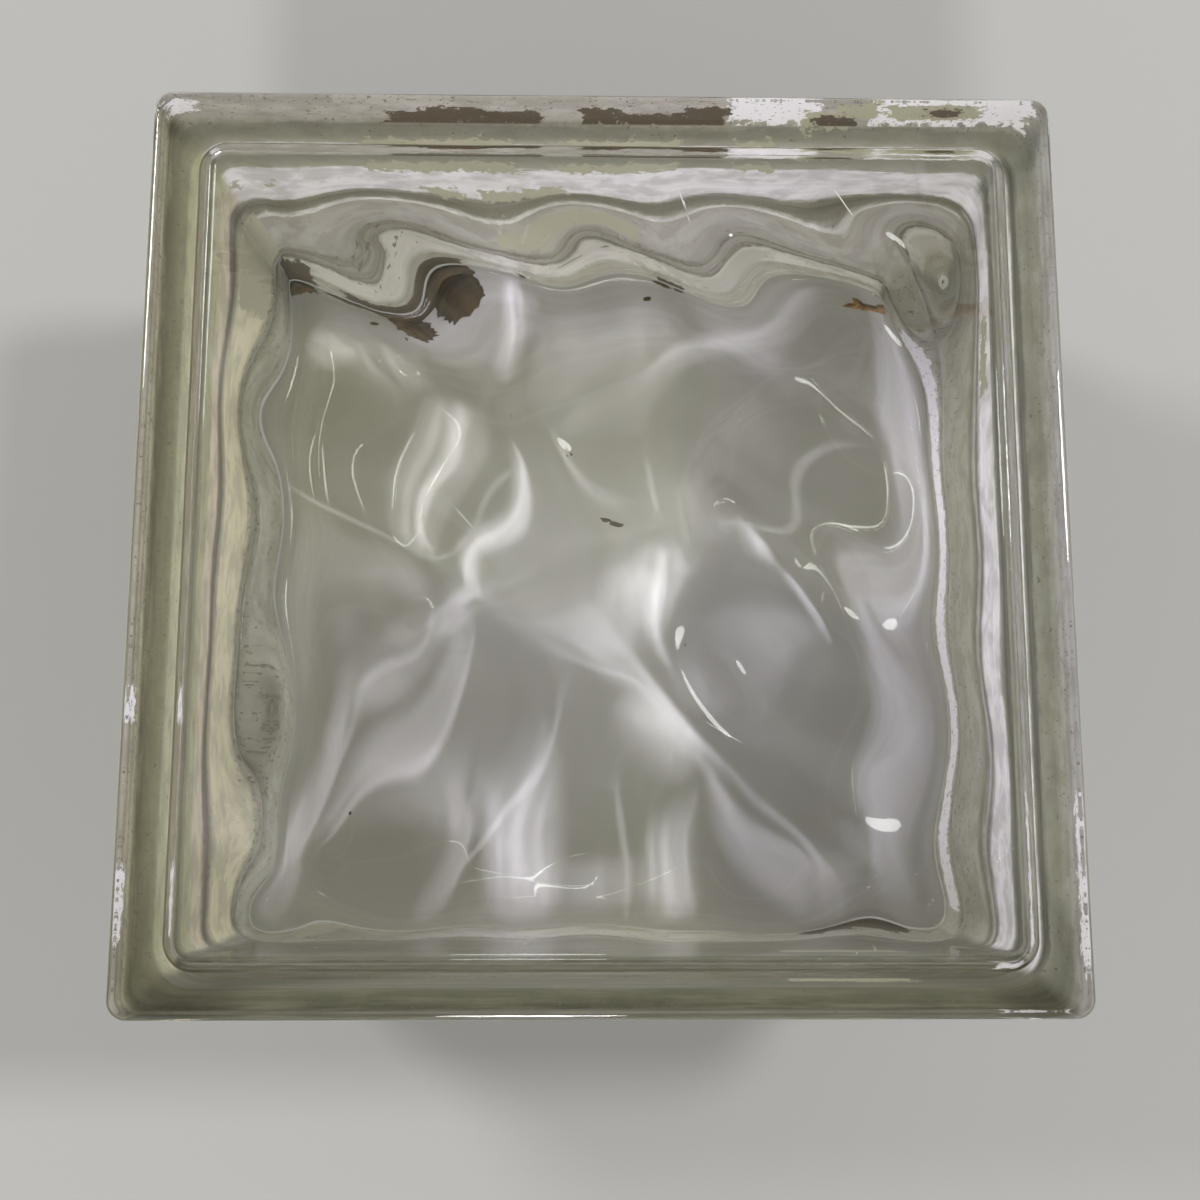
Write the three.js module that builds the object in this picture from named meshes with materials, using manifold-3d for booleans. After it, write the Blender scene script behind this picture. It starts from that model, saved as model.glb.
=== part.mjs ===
// Hollow glass block, 190 x 190 x 80 mm, lying on one face.
//
// Two identical half shells are pressed from molten glass and fused rim to rim at mid thickness.
// Each half is a flat face plate with a smooth outer side and a waved inner side, and a side wall
// that is thick beside the face (the shoulder) and thin beside the seam (the mortar channel).
// Millimetres, +Z up. The origin is on the floor, at the middle of the lower face.

import * as THREE from "three";
import * as BufferGeometryUtils from "three/addons/utils/BufferGeometryUtils.js";
import Module from "manifold-3d";

// ---------------------------------------------------------------- driving dimensions
const BLOCK_SIDE = 190;
const BLOCK_THICKNESS = 80;
const FACE_PLATE = 8.0; // mean glass thickness between the outer face and the waves
const WALL_AT_FACE = 7.7; // outline to the inner wall, just under the fillet
const WALL_AT_SEAM = 7.1; // outline to the inner wall, at the seam
const INNER_CORNER_RADIUS = 6.5;
const INNER_FILLET_RADIUS = 5.0;

const FACE_EDGE_RADIUS = 1.6;
const OUTER_CORNER_RADIUS = 4.0;
const SHOULDER_HEIGHT = 16.0; // outer face to the lower edge of the shoulder
const SHOULDER_EDGE_RADIUS = 1.5;
const CHANNEL_DEPTH = 3.6; // how far the mortar channel lies behind the shoulders
const CHANNEL_RUN_IN = 3.5; // height of the slope from the shoulder to the channel floor
const CHANNEL_CREASE_RADIUS = 2.0;
const CHANNEL_CORNER_RADIUS = 9.0;
const SEAM_BEAD_RISE = 0.8;
const SEAM_BEAD_HEIGHT = 3.8; // half of the bead, on one side of the seam

// The waves: each swell is a train of rounded ridges. The heading is the direction in which the
// train runs, in degrees from +X; the shift moves it along its heading, as a share of its length.
const SWELLS = [
  { length: 52.0, height: 0.5, heading: -89, shift: 0.04 },
  { length: 27.0, height: 0.35, heading: 41, shift: 0.45 },
  { length: 34.0, height: 0.3, heading: 25, shift: 0.26 },
  { length: 33.0, height: 0.6, heading: 62, shift: 0.96 },
  { length: 43.0, height: 0.7, heading: 58, shift: 0.92 },
  { length: 53.0, height: 0.5, heading: -21, shift: 0.91 },
  { length: 25.5, height: 0.25, heading: 6, shift: 0.63 },
  { length: 36.5, height: 0.25, heading: -33, shift: 0.89 },
  { length: 35.5, height: 0.4, heading: -4, shift: 0.87 },
];
const SWELL_RUN_OUT = 25; // distance from the inner walls over which the waves grow to full height

// ---------------------------------------------------------------- fineness of the facets
const OUTER_CORNER_STEPS = 8;
const EDGE_STEPS = 4;
const FILLET_STEPS = 4;
const FACE_CORE_STEPS = 36; // across the straight stretch of the inner face
const FACE_CORNER_STEPS = 4; // along each half of an inner corner
const PLUNGER_OVERRUN = 2; // how far the cutting body passes the seam plane

// ---------------------------------------------------------------- derived sizes
const HALF_SIDE = BLOCK_SIDE / 2;
const HALF_THICKNESS = BLOCK_THICKNESS / 2;
const FACE_STEPS = FACE_CORE_STEPS + 2 * FACE_CORNER_STEPS;
const FACE_CORE_SHARE = FACE_CORE_STEPS / FACE_STEPS;
const CEILING = HALF_THICKNESS - FACE_PLATE; // mean height of the waved face above the seam
const INNER_HALF = HALF_SIDE - WALL_AT_FACE; // middle of the face to an inner wall
const SLOPE_TURN = Math.atan2(CHANNEL_DEPTH, CHANNEL_RUN_IN); // from upright to the slope
const INNER_CORE = INNER_HALF - INNER_CORNER_RADIUS; // centres of the inner corners

const wasm = await Module();
wasm.setup();

// ---------------------------------------------------------------- meshes and solids

/** Closes a stack of loops with equal point counts into a skin, with a flat cap where asked. */
function loft(loops, { capFirst = true, capLast = true } = {}) {
  const count = loops[0].length;
  const indices = [];
  for (let ring = 0; ring + 1 < loops.length; ring += 1) {
    for (let i = 0; i < count; i += 1) {
      const next = (i + 1) % count;
      const [a, b] = [ring * count + i, ring * count + next];
      const [c, d] = [a + count, b + count];
      indices.push(a, b, d, a, d, c);
    }
  }
  const cap = (ring, up) => {
    const outline = loops[ring].map((p) => new THREE.Vector2(p.x, p.y));
    for (const [a, b, c] of THREE.ShapeUtils.triangulateShape(outline, [])) {
      const base = ring * count;
      indices.push(base + a, base + (up ? b : c), base + (up ? c : b));
    }
  };
  if (capFirst) cap(0, false);
  if (capLast) cap(loops.length - 1, true);
  const geometry = new THREE.BufferGeometry().setFromPoints(loops.flat());
  geometry.setIndex(indices);
  return geometry;
}

/** A manifold-3d solid from a closed three.js geometry. */
function toSolid(geometry) {
  const bare = geometry.clone();
  bare.deleteAttribute("normal");
  bare.deleteAttribute("uv");
  const merged = BufferGeometryUtils.mergeVertices(bare);
  const vertProperties = new Float32Array(merged.attributes.position.array);
  const triVerts = new Uint32Array(merged.index.array);
  return new wasm.Manifold(new wasm.Mesh({ numProp: 3, vertProperties, triVerts }));
}

/** A three.js geometry from a manifold-3d solid. */
function toGeometry(solid) {
  const { vertProperties, triVerts } = solid.getMesh();
  const geometry = new THREE.BufferGeometry();
  geometry.setAttribute("position", new THREE.BufferAttribute(vertProperties, 3));
  geometry.setIndex(new THREE.BufferAttribute(triVerts, 1));
  geometry.computeVertexNormals();
  return geometry;
}

// ---------------------------------------------------------------- outside of a half shell

/** Counter-clockwise loop round a square with rounded corners, at height z. */
function roundedSquare(half, radius, z) {
  const loop = [];
  for (let corner = 0; corner < 4; corner += 1) {
    const middle = Math.PI / 4 + (corner * Math.PI) / 2;
    const centre = (half - radius) * Math.SQRT2;
    for (let step = 0; step <= OUTER_CORNER_STEPS; step += 1) {
      const angle = middle + (step / OUTER_CORNER_STEPS - 0.5) * (Math.PI / 2);
      const x = centre * Math.cos(middle) + radius * Math.cos(angle);
      const y = centre * Math.sin(middle) + radius * Math.sin(angle);
      loop.push(new THREE.Vector3(x, y, z));
    }
  }
  return loop;
}

/**
 * Rounding between an upright run of the profile and the slope of the channel's side.
 * The share runs from 0, where the upright ends, to 1 on the slope; both results are measured
 * from the corner that the rounding takes off.
 */
function slopeRounding(radius, share) {
  const turn = SLOPE_TURN * share;
  const across = radius * (1 - Math.cos(turn));
  const along = radius * (Math.tan(SLOPE_TURN / 2) - Math.sin(turn));
  return { across, along };
}

/** The side profile of the outside, from the seam up to the face: inset, height, corner radius. */
function outsideProfile() {
  const shoulderFoot = HALF_THICKNESS - SHOULDER_HEIGHT;
  const floorTop = shoulderFoot - CHANNEL_RUN_IN;
  const shares = Array.from({ length: EDGE_STEPS + 1 }, (_, step) => step / EDGE_STEPS);
  const cornerAt = (inset) => THREE.MathUtils.mapLinear(
    inset, 0, CHANNEL_DEPTH, OUTER_CORNER_RADIUS, CHANNEL_CORNER_RADIUS,
  );
  const seamBead = shares.map((share) => {
    const rise = (SEAM_BEAD_RISE / 2) * (1 + Math.cos(Math.PI * share));
    return { inset: CHANNEL_DEPTH - rise, z: SEAM_BEAD_HEIGHT * share, corner: CHANNEL_CORNER_RADIUS };
  });
  const crease = shares.map((share) => {
    const { across, along } = slopeRounding(CHANNEL_CREASE_RADIUS, share);
    const inset = CHANNEL_DEPTH - across;
    return { inset, z: floorTop - along, corner: cornerAt(inset) };
  });
  const shoulderEdge = shares.toReversed().map((share) => {
    const { across, along } = slopeRounding(SHOULDER_EDGE_RADIUS, share);
    return { inset: across, z: shoulderFoot + along, corner: cornerAt(across) };
  });
  const faceEdge = shares.map((share) => {
    const turn = (share * Math.PI) / 2;
    const inset = FACE_EDGE_RADIUS * (1 - Math.cos(turn));
    const z = HALF_THICKNESS - FACE_EDGE_RADIUS * (1 - Math.sin(turn));
    return { inset, z, corner: OUTER_CORNER_RADIUS - inset };
  });
  return [...seamBead, ...crease, ...shoulderEdge, ...faceEdge];
}

function pressedBlank() {
  const loops = outsideProfile().map((p) => roundedSquare(HALF_SIDE - p.inset, p.corner, p.z));
  return toSolid(loft(loops));
}

// ---------------------------------------------------------------- inside of a half shell

/** How far the waves have grown at a distance from the middle of the face: 1 is full height. */
function waveGrowth(offset) {
  return THREE.MathUtils.smoothstep(INNER_HALF - Math.abs(offset), 0, SWELL_RUN_OUT);
}

/** Height of the waved face above the seam plane. */
function wavedHeight(x, y) {
  let rise = 0;
  for (const swell of SWELLS) {
    const heading = THREE.MathUtils.degToRad(swell.heading);
    const along = x * Math.cos(heading) + y * Math.sin(heading);
    rise += swell.height * Math.sin(2 * Math.PI * (along / swell.length + swell.shift));
  }
  return CEILING + rise * waveGrowth(x) * waveGrowth(y);
}

/**
 * Point of the inner outline that lies the given distance outside the square of corner centres.
 * u and v run from -1 to 1 and one of them is 1 or -1; near a corner they turn round its arc.
 */
function innerOutline(u, v, reach) {
  const turn = (t) => (Math.max(Math.abs(t) - FACE_CORE_SHARE, 0) / (1 - FACE_CORE_SHARE)) * (Math.PI / 4);
  const place = (t) => INNER_CORE * THREE.MathUtils.clamp(t / FACE_CORE_SHARE, -1, 1);
  if (Math.abs(u) >= Math.abs(v)) {
    const x = Math.sign(u) * (INNER_CORE + reach * Math.cos(turn(v)));
    return new THREE.Vector2(x, place(v) + Math.sign(v) * reach * Math.sin(turn(v)));
  }
  const y = Math.sign(v) * (INNER_CORE + reach * Math.cos(turn(u)));
  return new THREE.Vector2(place(u) + Math.sign(u) * reach * Math.sin(turn(u)), y);
}

/** Counter-clockwise walk round the edge of the face grid, as pairs of u and v. */
function edgeWalk() {
  const walk = [];
  for (let side = 0; side < 4; side += 1) {
    for (let step = 0; step < FACE_STEPS; step += 1) {
      const t = -1 + (2 * step) / FACE_STEPS;
      walk.push([[t, -1], [1, t], [-t, 1], [-1, -t]][side]);
    }
  }
  return walk;
}

/** The waved face, inside the fillet: a grid drawn in to the rounded inner outline. */
function wavedFace() {
  const face = new THREE.PlaneGeometry(2, 2, FACE_STEPS, FACE_STEPS);
  const { position } = face.attributes;
  const reach = INNER_CORNER_RADIUS - INNER_FILLET_RADIUS;
  for (let i = 0; i < position.count; i += 1) {
    const [u, v] = [position.getX(i), position.getY(i)];
    const scale = Math.max(Math.abs(u), Math.abs(v));
    const point = scale > 0 ? innerOutline(u / scale, v / scale, reach) : new THREE.Vector2();
    point.multiplyScalar(scale);
    position.setXYZ(i, point.x, point.y, wavedHeight(point.x, point.y));
  }
  return face;
}

/** The body of air in one half: drafted walls, a rolled fillet and the waved face. */
function plunger() {
  const walk = edgeWalk();
  const faceReach = INNER_CORNER_RADIUS - INNER_FILLET_RADIUS;
  const draft = (WALL_AT_FACE - WALL_AT_SEAM) / CEILING;
  const footReach = INNER_CORNER_RADIUS + (WALL_AT_FACE - WALL_AT_SEAM) + draft * PLUNGER_OVERRUN;
  const foot = walk.map(([u, v]) => {
    const point = innerOutline(u, v, footReach);
    return new THREE.Vector3(point.x, point.y, -PLUNGER_OVERRUN);
  });
  const loops = [foot];
  for (let step = 0; step <= FILLET_STEPS; step += 1) {
    const turn = (step / FILLET_STEPS) * (Math.PI / 2);
    loops.push(walk.map(([u, v]) => {
      const crest = innerOutline(u, v, faceReach);
      const point = innerOutline(u, v, faceReach + INNER_FILLET_RADIUS * Math.cos(turn));
      const drop = INNER_FILLET_RADIUS * (1 - Math.sin(turn));
      return new THREE.Vector3(point.x, point.y, wavedHeight(crest.x, crest.y) - drop);
    }));
  }
  const walls = loft(loops, { capLast: false });
  const face = wavedFace();
  face.deleteAttribute("normal");
  face.deleteAttribute("uv");
  return toSolid(BufferGeometryUtils.mergeGeometries([walls, face]));
}

// ---------------------------------------------------------------- the block

const glass = new THREE.MeshStandardMaterial({ color: 0xc3c8b4, roughness: 0.06, metalness: 0 });
const halfShell = toGeometry(pressedBlank().subtract(plunger()));

const upper = new THREE.Mesh(halfShell, glass);
upper.name = "upper_half_shell";
upper.position.z = HALF_THICKNESS;

const lower = new THREE.Mesh(halfShell.clone(), glass.clone());
lower.name = "lower_half_shell";
lower.rotation.x = Math.PI;
lower.position.z = HALF_THICKNESS;

const block = new THREE.Group();
block.add(upper, lower);

export default block;
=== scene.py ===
"""Hollow glass block: fused glass body, worn coating, smears, trapped grit, scratches and a soft studio."""

import logging
import math
from dataclasses import dataclass
from enum import Enum

import bmesh
import bpy
from mathutils import Matrix, Vector, noise

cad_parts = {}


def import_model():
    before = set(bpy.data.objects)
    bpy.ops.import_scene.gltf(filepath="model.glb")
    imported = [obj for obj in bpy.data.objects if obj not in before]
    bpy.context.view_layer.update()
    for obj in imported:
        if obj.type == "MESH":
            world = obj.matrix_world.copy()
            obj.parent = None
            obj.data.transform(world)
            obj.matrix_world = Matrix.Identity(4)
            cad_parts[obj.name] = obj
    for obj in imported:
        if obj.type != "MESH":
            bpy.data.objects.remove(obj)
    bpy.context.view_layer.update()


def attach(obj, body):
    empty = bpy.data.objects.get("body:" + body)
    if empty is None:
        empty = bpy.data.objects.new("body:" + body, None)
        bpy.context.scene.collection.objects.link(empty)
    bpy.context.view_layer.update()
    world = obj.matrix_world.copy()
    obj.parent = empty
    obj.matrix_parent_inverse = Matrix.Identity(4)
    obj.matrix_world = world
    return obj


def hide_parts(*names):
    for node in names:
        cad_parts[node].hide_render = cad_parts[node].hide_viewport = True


MM = 0.001
CUT_MARGIN = 0.0001  # how near a cut a point counts as on it, in millimetres
LOG = logging.getLogger("glass_block")
Colour = tuple[float, float, float]


# ------------------------------------------------------------------ sizes of the block


@dataclass(frozen=True)
class Swell:
    """One train of rounded ridges pressed into the inner face of a half shell, in millimetres."""

    length: float
    height: float
    heading: float
    shift: float

    def rise(self, x: float, y: float) -> float:
        """Return the height of this train at a place on the face.

        Args:
            x: Place along X in millimetres.
            y: Place along Y in millimetres.

        Returns:
            The height above the mean face in millimetres.
        """
        heading = math.radians(self.heading)
        along = x * math.cos(heading) + y * math.sin(heading)
        return self.height * math.sin(2 * math.pi * (along / self.length + self.shift))


SWELLS = (
    Swell(length=52.0, height=0.5, heading=-89, shift=0.04),
    Swell(length=27.0, height=0.35, heading=41, shift=0.45),
    Swell(length=34.0, height=0.3, heading=25, shift=0.26),
    Swell(length=33.0, height=0.6, heading=62, shift=0.96),
    Swell(length=43.0, height=0.7, heading=58, shift=0.92),
    Swell(length=53.0, height=0.5, heading=-21, shift=0.91),
    Swell(length=25.5, height=0.25, heading=6, shift=0.63),
    Swell(length=36.5, height=0.25, heading=-33, shift=0.89),
    Swell(length=35.5, height=0.4, heading=-4, shift=0.87),
)


@dataclass(frozen=True)
class BlockSizes:
    """Driving sizes of the block in millimetres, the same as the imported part's."""

    side: float = 190.0
    thickness: float = 80.0
    face_plate: float = 8.0
    wall_at_face: float = 7.7
    wall_at_seam: float = 7.1
    inner_corner: float = 6.5
    inner_fillet: float = 5.0
    face_edge: float = 1.6
    outer_corner: float = 4.0
    shoulder_height: float = 16.0
    shoulder_edge: float = 1.5
    channel_depth: float = 3.6
    channel_run_in: float = 3.5
    channel_crease: float = 2.0
    channel_corner: float = 9.0
    seam_bead_rise: float = 0.8
    seam_bead_height: float = 3.8
    swell_run_out: float = 25.0

    @property
    def half_side(self) -> float:
        """Half of the block's side."""
        return self.side / 2

    @property
    def half_thickness(self) -> float:
        """Height of the seam above the floor."""
        return self.thickness / 2

    @property
    def ceiling(self) -> float:
        """Mean height of the waved face above the seam."""
        return self.half_thickness - self.face_plate

    @property
    def inner_half(self) -> float:
        """Distance from the middle of the face to an inner wall."""
        return self.half_side - self.wall_at_face

    @property
    def shoulder_foot(self) -> float:
        """Height of the shoulder's lower edge above the seam."""
        return self.half_thickness - self.shoulder_height

    @property
    def channel_top(self) -> float:
        """Height above the seam at which the channel's slope begins."""
        return self.shoulder_foot - self.channel_run_in

    @property
    def slope_turn(self) -> float:
        """Angle in radians between an upright side and the channel's slope."""
        return math.atan2(self.channel_depth, self.channel_run_in)

    def corner_at(self, inset: float) -> float:
        """Return the corner radius of the outline that lies this far inside the block's."""
        return self.outer_corner + (self.channel_corner - self.outer_corner) * inset / self.channel_depth

    def waved_height(self, x: float, y: float) -> float:
        """Return the height in millimetres of the waved face above the seam plane."""
        rise = sum(swell.rise(x, y) for swell in SWELLS)
        return self.ceiling + rise * self._growth(x) * self._growth(y)

    def _growth(self, offset: float) -> float:
        """Return how far the waves have grown at a distance from the middle, as a share of their height."""
        share = min(max((self.inner_half - abs(offset)) / self.swell_run_out, 0), 1)
        return share * share * (3 - 2 * share)


# ------------------------------------------------------------------ outside profile


@dataclass(frozen=True)
class Station:
    """One level of an outline that is swept round the block, in millimetres above the seam."""

    inset: float
    level: float
    corner: float

    def sunk(self, depth: float) -> "Station":
        """Return the same station a little deeper in the glass."""
        return Station(self.inset + depth, self.level, self.corner - depth)


@dataclass(frozen=True)
class EdgeProfile:
    """The outside of one half, as stations from the seam up to the flat face."""

    sizes: BlockSizes
    steps: int = 7
    hold: float = 0.25  # distance of a holding loop from a rounding

    def _shares(self) -> list[float]:
        """Return even shares from 0 to 1."""
        return [step / self.steps for step in range(self.steps + 1)]

    def bead(self) -> list[Station]:
        """Return the stations of the seam's bead.

        Returns:
            The stations, from the seam outwards.
        """
        s = self.sizes
        levels = [
            Station(
                s.channel_depth - s.seam_bead_rise / 2 * (1 + math.cos(math.pi * share)),
                s.seam_bead_height * share,
                s.channel_corner,
            )
            for share in self._shares()
        ]
        levels.append(Station(s.channel_depth, s.seam_bead_height + self.hold, s.channel_corner))
        return levels

    def _rounding(self, radius: float, share: float) -> tuple[float, float]:
        """Return how far a rounding of the slope's corner lies across and along from that corner.

        Args:
            radius: Radius of the rounding in millimetres.
            share: 0 where the upright side ends, 1 on the slope.

        Returns:
            The distances across and along the upright side in millimetres.
        """
        turn = self.sizes.slope_turn * share
        across = radius * (1 - math.cos(turn))
        along = radius * (math.tan(self.sizes.slope_turn / 2) - math.sin(turn))
        return across, along

    def channel(self) -> list[Station]:
        """Return the stations of the channel's floor, crease and slope.

        Returns:
            The stations, going up.
        """
        s = self.sizes
        levels = []
        for share in self._shares():
            across, along = self._rounding(s.channel_crease, share)
            inset = s.channel_depth - across
            levels.append(Station(inset, s.channel_top - along, s.corner_at(inset)))
        start = levels[0]
        levels.insert(0, Station(start.inset, start.level - self.hold, start.corner))
        levels.append(self._on_slope(levels[-1], self.hold))
        return levels

    def _on_slope(self, station: Station, distance: float) -> Station:
        """Return the station a distance further up the slope.

        Args:
            station: A station on the slope.
            distance: How far up the slope to go, in millimetres.

        Returns:
            The station there.
        """
        inset = station.inset - distance * math.sin(self.sizes.slope_turn)
        level = station.level + distance * math.cos(self.sizes.slope_turn)
        return Station(inset, level, self.sizes.corner_at(inset))

    def shoulder(self) -> list[Station]:
        """Return the stations of the shoulder's lower edge and its upright side.

        Returns:
            The stations, going up.
        """
        s = self.sizes
        levels = []
        for share in reversed(self._shares()):
            across, along = self._rounding(s.shoulder_edge, share)
            levels.append(Station(across, s.shoulder_foot + along, s.corner_at(across)))
        levels.insert(0, self._on_slope(levels[0], -self.hold))
        levels.append(Station(0, levels[-1].level + self.hold, s.outer_corner))
        levels.append(Station(0, s.half_thickness - s.face_edge - self.hold, s.outer_corner))
        return levels

    def face_edge(self) -> list[Station]:
        """Return the stations of the rounding into the flat face.

        Returns:
            The stations, going up and in.
        """
        s = self.sizes
        levels = []
        for share in self._shares():
            inset = s.face_edge * (1 - math.cos(math.pi / 2 * share))
            level = s.half_thickness - s.face_edge * (1 - math.sin(math.pi / 2 * share))
            levels.append(Station(inset, level, s.outer_corner - inset))
        last = s.face_edge + self.hold
        levels.append(Station(last, s.half_thickness, s.outer_corner - last))
        return levels


# ------------------------------------------------------------------ skins


class SquareSkin:
    """A skin of loops round a square with rounded corners, grown by extruding its open edge."""

    def __init__(self) -> None:
        """Start an empty mesh that remembers where each point sits round the square."""
        self.mesh = bmesh.new()
        layers = self.mesh.verts.layers.float
        self.anchor = (layers.new("anchor_x"), layers.new("anchor_y"))
        self.normal = (layers.new("normal_x"), layers.new("normal_y"))
        self.hold = layers.new("hold")
        self.edge: list[bmesh.types.BMEdge] = []

    def mark(self, point: bmesh.types.BMVert, anchor: Vector, normal: Vector) -> None:
        """Store a point's place on the square of corner centres and the way it faces.

        Args:
            point: The point.
            anchor: Its place on the square of corner centres, from -1 to 1.
            normal: The way the outline faces there.
        """
        for axis in (0, 1):
            point[self.anchor[axis]] = anchor[axis]
            point[self.normal[axis]] = normal[axis]

    def spot(self, point: bmesh.types.BMVert, core: float, reach: float) -> Vector:
        """Return a marked point's place on the outline this far outside the square of corner centres."""
        return Vector(point[self.anchor[axis]] * core + point[self.normal[axis]] * reach for axis in (0, 1))

    def grow(self) -> list[bmesh.types.BMVert]:
        """Extrude the open edge and return the points of the new edge.

        Returns:
            The points of the new edge.
        """
        grown = bmesh.ops.extrude_edge_only(self.mesh, edges=self.edge)["geom"]
        points = [item for item in grown if isinstance(item, bmesh.types.BMVert)]
        fresh = set(points)
        self.edge = [
            item
            for item in grown
            if isinstance(item, bmesh.types.BMEdge) and all(end in fresh for end in item.verts)
        ]
        return points


class OuterSkin(SquareSkin):
    """A band swept round the outside of one half along a list of stations."""

    CORNER_STEPS = 14
    HOLD = 0.25  # distance of the holding points from each corner's arc, in millimetres

    def __init__(self, sizes: BlockSizes, stations: list[Station], closed: bool) -> None:
        """Sweep the band.

        Args:
            sizes: Sizes of the block.
            stations: The levels from the seam upwards.
            closed: True to fill the last loop with a flat face.
        """
        super().__init__()
        self.sizes = sizes
        seed = self._start_loop()
        for station in stations:
            self._settle(self.grow(), station)
        bmesh.ops.delete(self.mesh, geom=seed, context="VERTS")
        if closed:
            bmesh.ops.edgeloop_fill(self.mesh, edges=self.edge)

    def _start_loop(self) -> list[bmesh.types.BMVert]:
        """Make a first loop that marks each point's corner, and return its points.

        Returns:
            The points of the loop, which are deleted in the end.
        """
        per_corner = self.CORNER_STEPS + 3
        ring = bmesh.ops.create_circle(self.mesh, segments=4 * per_corner, radius=1.0)["verts"]
        ring.sort(key=lambda point: math.atan2(point.co.y, point.co.x) % (2 * math.pi))
        for index, point in enumerate(ring):
            corner, place = divmod(index, per_corner)
            middle = math.radians(45 + 90 * corner)
            step = min(max(place - 1, 0), self.CORNER_STEPS)
            turn = middle + math.radians(90) * (step / self.CORNER_STEPS - 0.5)
            anchor = Vector((math.copysign(1, math.cos(middle)), math.copysign(1, math.sin(middle))))
            self.mark(point, anchor, Vector((math.cos(turn), math.sin(turn))))
            point[self.hold] = place - 1 - step
        self.edge = list(self.mesh.edges)
        return ring

    def _settle(self, points: list[bmesh.types.BMVert], station: Station) -> None:
        """Move a loop's points to their level.

        Args:
            points: The points of the loop.
            station: Its level and outline.
        """
        core = self.sizes.half_side - station.inset - station.corner
        for point in points:
            spot = self.spot(point, core, station.corner)
            aside = Vector((-point[self.normal[1]], point[self.normal[0]])) * self.HOLD * point[self.hold]
            point.co = (*(spot + aside), station.level)


class InnerSkin(SquareSkin):
    """The inside of one half: waved face, rolled fillet and drafted wall."""

    CORE_STEPS = 132
    CORNER_STEPS = 8
    FILLET_STEPS = 10
    WALL_HOLD = 3.0  # distance of the wall's holding loops from the fillet and the seam

    def __init__(self, sizes: BlockSizes) -> None:
        """Build the half with its seam on the ground plane.

        Args:
            sizes: Sizes of the block.
        """
        super().__init__()
        self.sizes = sizes
        self.core = sizes.inner_half - sizes.inner_corner
        self.share = self.CORE_STEPS / (self.CORE_STEPS + 2 * self.CORNER_STEPS)
        self._waved_face()
        self._fillet()
        self._wall()

    def _direction(self, u: float, v: float) -> tuple[Vector, Vector]:
        """Return the anchor and normal of a place on the edge of the unit grid.

        Args:
            u: Place along X from -1 to 1.
            v: Place along Y from -1 to 1, where one of the two is -1 or 1.

        Returns:
            The place on the square of corner centres, and the way the outline faces there.
        """

        def turn(t: float) -> float:
            """Return how far the outline has turned round a corner's half."""
            return max(abs(t) - self.share, 0) / (1 - self.share) * math.pi / 4

        def place(t: float) -> float:
            """Return the place along the straight stretch."""
            return min(max(t / self.share, -1), 1)

        if abs(u) >= abs(v):
            anchor = Vector((math.copysign(1, u), place(v)))
            normal = Vector((math.copysign(math.cos(turn(v)), u), math.copysign(math.sin(turn(v)), v)))
        else:
            anchor = Vector((place(u), math.copysign(1, v)))
            normal = Vector((math.copysign(math.sin(turn(u)), u), math.copysign(math.cos(turn(u)), v)))
        return anchor, normal

    def _waved_face(self) -> None:
        """Lay a grid over the face, draw it in to the rounded outline and raise the waves."""
        steps = self.CORE_STEPS + 2 * self.CORNER_STEPS
        reach = self.sizes.inner_corner - self.sizes.inner_fillet
        bmesh.ops.create_grid(self.mesh, x_segments=steps, y_segments=steps, size=1.0)
        for point in self.mesh.verts:
            u, v = point.co.x, point.co.y
            scale = max(abs(u), abs(v))
            spot = Vector((0, 0))
            if scale > 0:
                anchor, normal = self._direction(u / scale, v / scale)
                self.mark(point, anchor, normal)
                spot = (anchor * self.core + normal * reach) * scale
            point.co = (spot.x, spot.y, self.sizes.waved_height(spot.x, spot.y))
        self.edge = [edge for edge in self.mesh.edges if edge.is_boundary]

    def _fillet(self) -> None:
        """Roll the edge of the waved face over into the wall."""
        s = self.sizes
        face_reach = s.inner_corner - s.inner_fillet
        for step in range(1, self.FILLET_STEPS + 1):
            turn = math.radians(90 * step / self.FILLET_STEPS)
            for point in self.grow():
                crest = self.spot(point, self.core, face_reach)
                spot = self.spot(point, self.core, face_reach + s.inner_fillet * math.sin(turn))
                drop = s.inner_fillet * (1 - math.cos(turn))
                point.co = (spot.x, spot.y, s.waved_height(crest.x, crest.y) - drop)

    def _wall(self) -> None:
        """Drop the wall to the seam."""
        s = self.sizes
        top = s.ceiling - s.inner_fillet - self.WALL_HOLD
        for level in (top, self.WALL_HOLD, 0.0):
            lean = (s.wall_at_face - s.wall_at_seam) * (1 - level / s.ceiling)
            for point in self.grow():
                spot = self.spot(point, self.core, s.inner_corner + lean)
                point.co = (spot.x, spot.y, level)


def turned_copy(half: bmesh.types.BMesh) -> None:
    """Add a copy of a half, turned over about X to face the other way.

    Args:
        half: The mesh of one half, which gets the copy.
    """
    copy = bmesh.ops.duplicate(half, geom=half.verts[:] + half.edges[:] + half.faces[:])["geom"]
    points = [item for item in copy if isinstance(item, bmesh.types.BMVert)]
    bmesh.ops.rotate(half, verts=points, cent=(0, 0, 0), matrix=Matrix.Rotation(math.pi, 3, "X"))


def thicken(mesh: bmesh.types.BMesh, thickness: float) -> None:
    """Turn flat level outlines into closed plates of a thickness, upward.

    Args:
        mesh: The outlines, which become the plates.
        thickness: Their thickness in millimetres.
    """
    grown = bmesh.ops.extrude_face_region(mesh, geom=mesh.faces[:])["geom"]
    top = [item for item in grown if isinstance(item, bmesh.types.BMVert)]
    bmesh.ops.translate(mesh, verts=top, vec=(0, 0, thickness))
    bmesh.ops.recalc_face_normals(mesh, faces=mesh.faces)


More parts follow.
